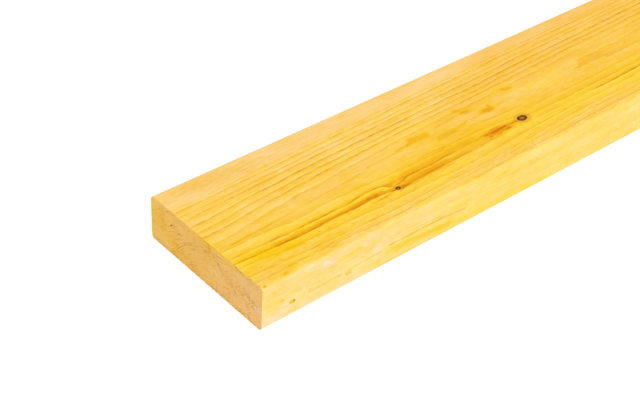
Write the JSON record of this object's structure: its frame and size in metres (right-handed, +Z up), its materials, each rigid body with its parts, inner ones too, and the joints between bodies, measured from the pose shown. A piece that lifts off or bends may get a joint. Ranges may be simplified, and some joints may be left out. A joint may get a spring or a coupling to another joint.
{
  "type": "timber plank",
  "caption": "Planed softwood plank for framing, rectangular in section, with eased long edges, square-sawn ends and small dead knots.",
  "frame": {"origin": "middle of the underside", "axes": "+X along the grain, from the end with the knots towards the other end; +Y across the width; +Z up, out of the wide top face"},
  "size_m": [1.8, 0.15, 0.045],
  "materials": {
    "timber": "planed softwood, unfinished, with golden growth rings"
  },
  "bodies": {
    "root": {"plank": "timber"}
  },
  "joints": []
}
